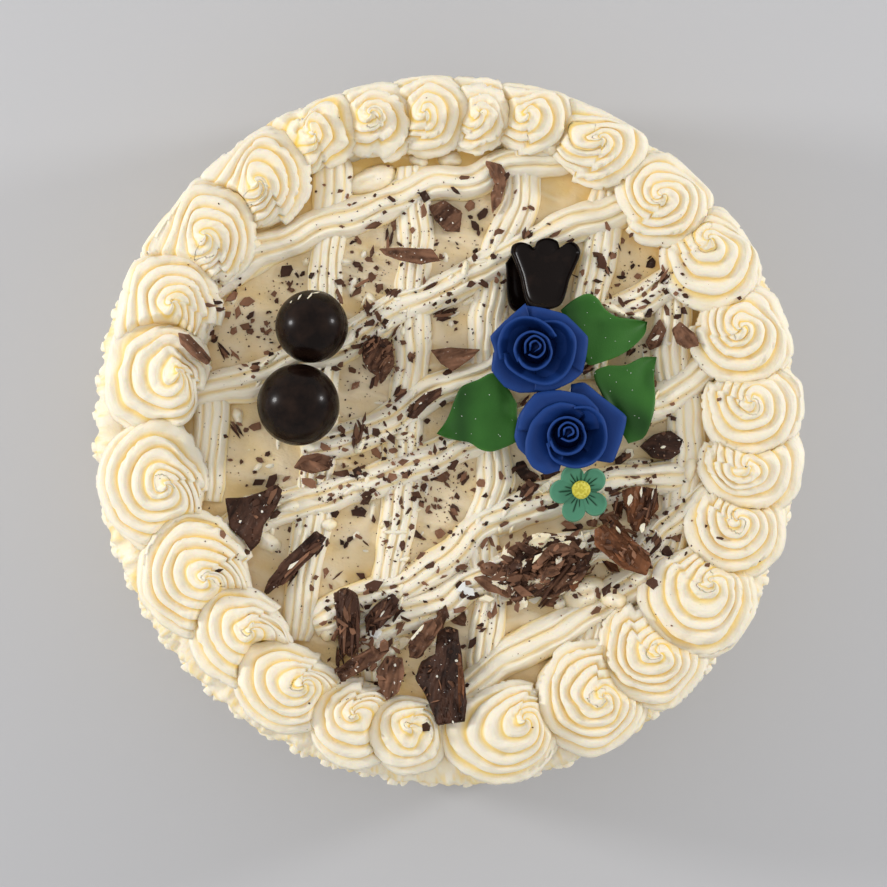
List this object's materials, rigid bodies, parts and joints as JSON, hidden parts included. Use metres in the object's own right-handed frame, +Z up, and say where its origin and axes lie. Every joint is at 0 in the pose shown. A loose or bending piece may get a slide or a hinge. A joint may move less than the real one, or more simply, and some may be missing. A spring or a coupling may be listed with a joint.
{
  "type": "black forest cake",
  "caption": "Whole uncut cream cake with piped ropes up the side, a ring of piped rosettes, a basket of cream strips, chocolate balls, shards, sugar roses and leaves",
  "frame": {"origin": "centre of the cake's underside, on the surface that it stands on", "axes": "+Z up; +X to the right and +Y away as the cake is seen from above with the roses on the right"},
  "size_m": [0.2606, 0.2606, 0.0958],
  "materials": {
    "cream": "satin whipped cream",
    "chocolate_gloss": "polished dark chocolate",
    "chocolate_dark": "broken dark chocolate",
    "chocolate_brown": "broken milk chocolate",
    "sugar_blue": "matt sugar paste",
    "sugar_green": "matt sugar paste",
    "sugar_teal": "matt sugar paste",
    "sugar_yellow": "grainy sugar paste"
  },
  "bodies": {
    "root": {"ball_1": "chocolate_gloss", "ball_2": "chocolate_gloss", "cake_cream": "cream", "flower_centre": "sugar_yellow", "flower_petals": "sugar_teal", "leaf_1": "sugar_green", "leaf_2": "sugar_green", "leaf_3": "sugar_green", "plaque_back": "chocolate_gloss", "plaque_front": "chocolate_gloss", "rose_1": "sugar_blue", "rose_2": "sugar_blue", "rosette_01": "cream", "rosette_02": "cream", "rosette_03": "cream", "rosette_04": "cream", "rosette_05": "cream", "rosette_06": "cream", "rosette_07": "cream", "rosette_08": "cream", "rosette_09": "cream", "rosette_10": "cream", "rosette_11": "cream", "rosette_12": "cream", "rosette_13": "cream", "rosette_14": "cream", "rosette_15": "cream", "rosette_16": "cream", "rosette_17": "cream", "rosette_18": "cream", "rosette_19": "cream", "rosette_20": "cream", "rosette_21": "cream", "rosette_22": "cream", "rosette_23": "cream", "rosette_24": "cream", "rosette_25": "cream", "rosette_26": "cream", "shard_almond_right": "chocolate_dark", "shard_bark_centre": "chocolate_brown", "shard_brown_left": "chocolate_brown", "shard_bundle_bark": "chocolate_dark", "shard_bundle_dark": "chocolate_dark", "shard_bundle_light": "chocolate_brown", "shard_bundle_low": "chocolate_brown", "shard_curl_centre": "chocolate_dark", "shard_curved_brown": "chocolate_brown", "shard_fan_centre": "chocolate_brown", "shard_flat_top": "chocolate_brown", "shard_long_left": "chocolate_dark", "shard_mauve_top": "chocolate_brown", "shard_oval_left": "chocolate_brown", "shard_plate_bottom": "chocolate_dark", "shard_plate_left": "chocolate_dark", "shard_plate_top": "chocolate_brown", "shard_rust_right": "chocolate_brown", "shard_wedge_right": "chocolate_brown", "shard_wing_right": "chocolate_brown", "shard_block_right": "chocolate_dark", "shaving_heap": "chocolate_brown"}
  },
  "joints": []
}
